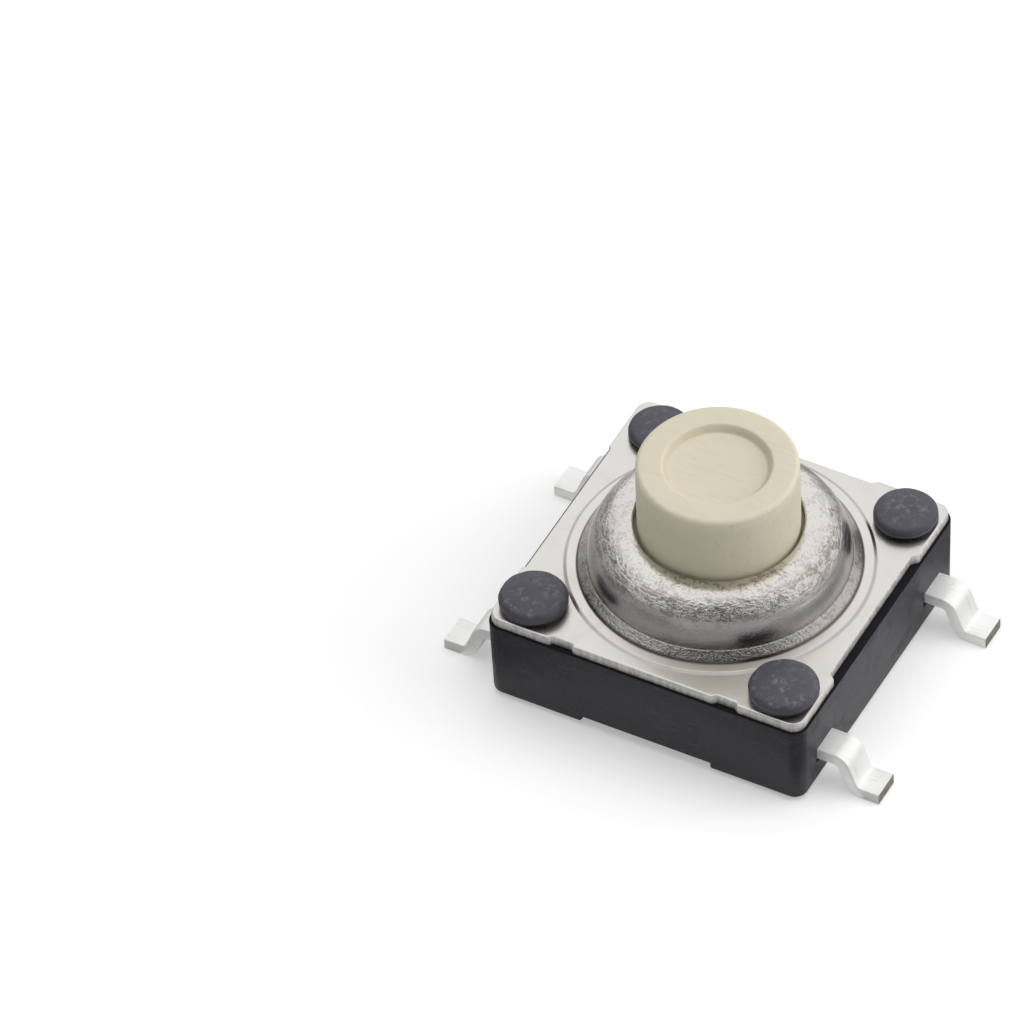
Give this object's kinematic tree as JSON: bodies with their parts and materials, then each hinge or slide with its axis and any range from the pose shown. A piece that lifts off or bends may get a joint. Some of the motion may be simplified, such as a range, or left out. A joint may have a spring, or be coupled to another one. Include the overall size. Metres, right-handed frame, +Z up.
{
  "type": "tactile push button switch",
  "caption": "Sealed surface-mount tactile switch: nearly square black base, domed metal cover with staked posts, round ivory plunger and gull-wing leads.",
  "frame": {"origin": "centre of the body on the board surface, which the undersides of the four solder feet touch", "axes": "+X along the leads, +Y towards the rear row of leads, +Z up along the plunger"},
  "size_m": [0.0092, 0.0066, 0.0047],
  "materials": {
    "base_plastic": "semi-gloss black moulding with fine scuffs",
    "cover_metal": "satin pressed sheet with a fine speckle",
    "plunger_plastic": "ivory moulding with faint grain",
    "seal_rubber": "soft matte",
    "disc_metal": "thin polished spring sheet",
    "lead_metal": "bright tin plating, bare at the cut tips"
  },
  "bodies": {
    "housing": {"base": "base_plastic", "cover": "cover_metal", "terminal_frame_front": "lead_metal", "terminal_frame_rear": "lead_metal", "seal": "seal_rubber", "contact_dome": "disc_metal"},
    "plunger": {"plunger": "plunger_plastic"}
  },
  "joints": [
    {"name": "plunger_press", "type": "slide", "parent": "housing", "child": "plunger", "axis": [0, 0, -1], "range_m": [0, 0.00025], "stiffness_N_per_m": 6400, "deforming": ["seal", "contact_dome"]}
  ]
}
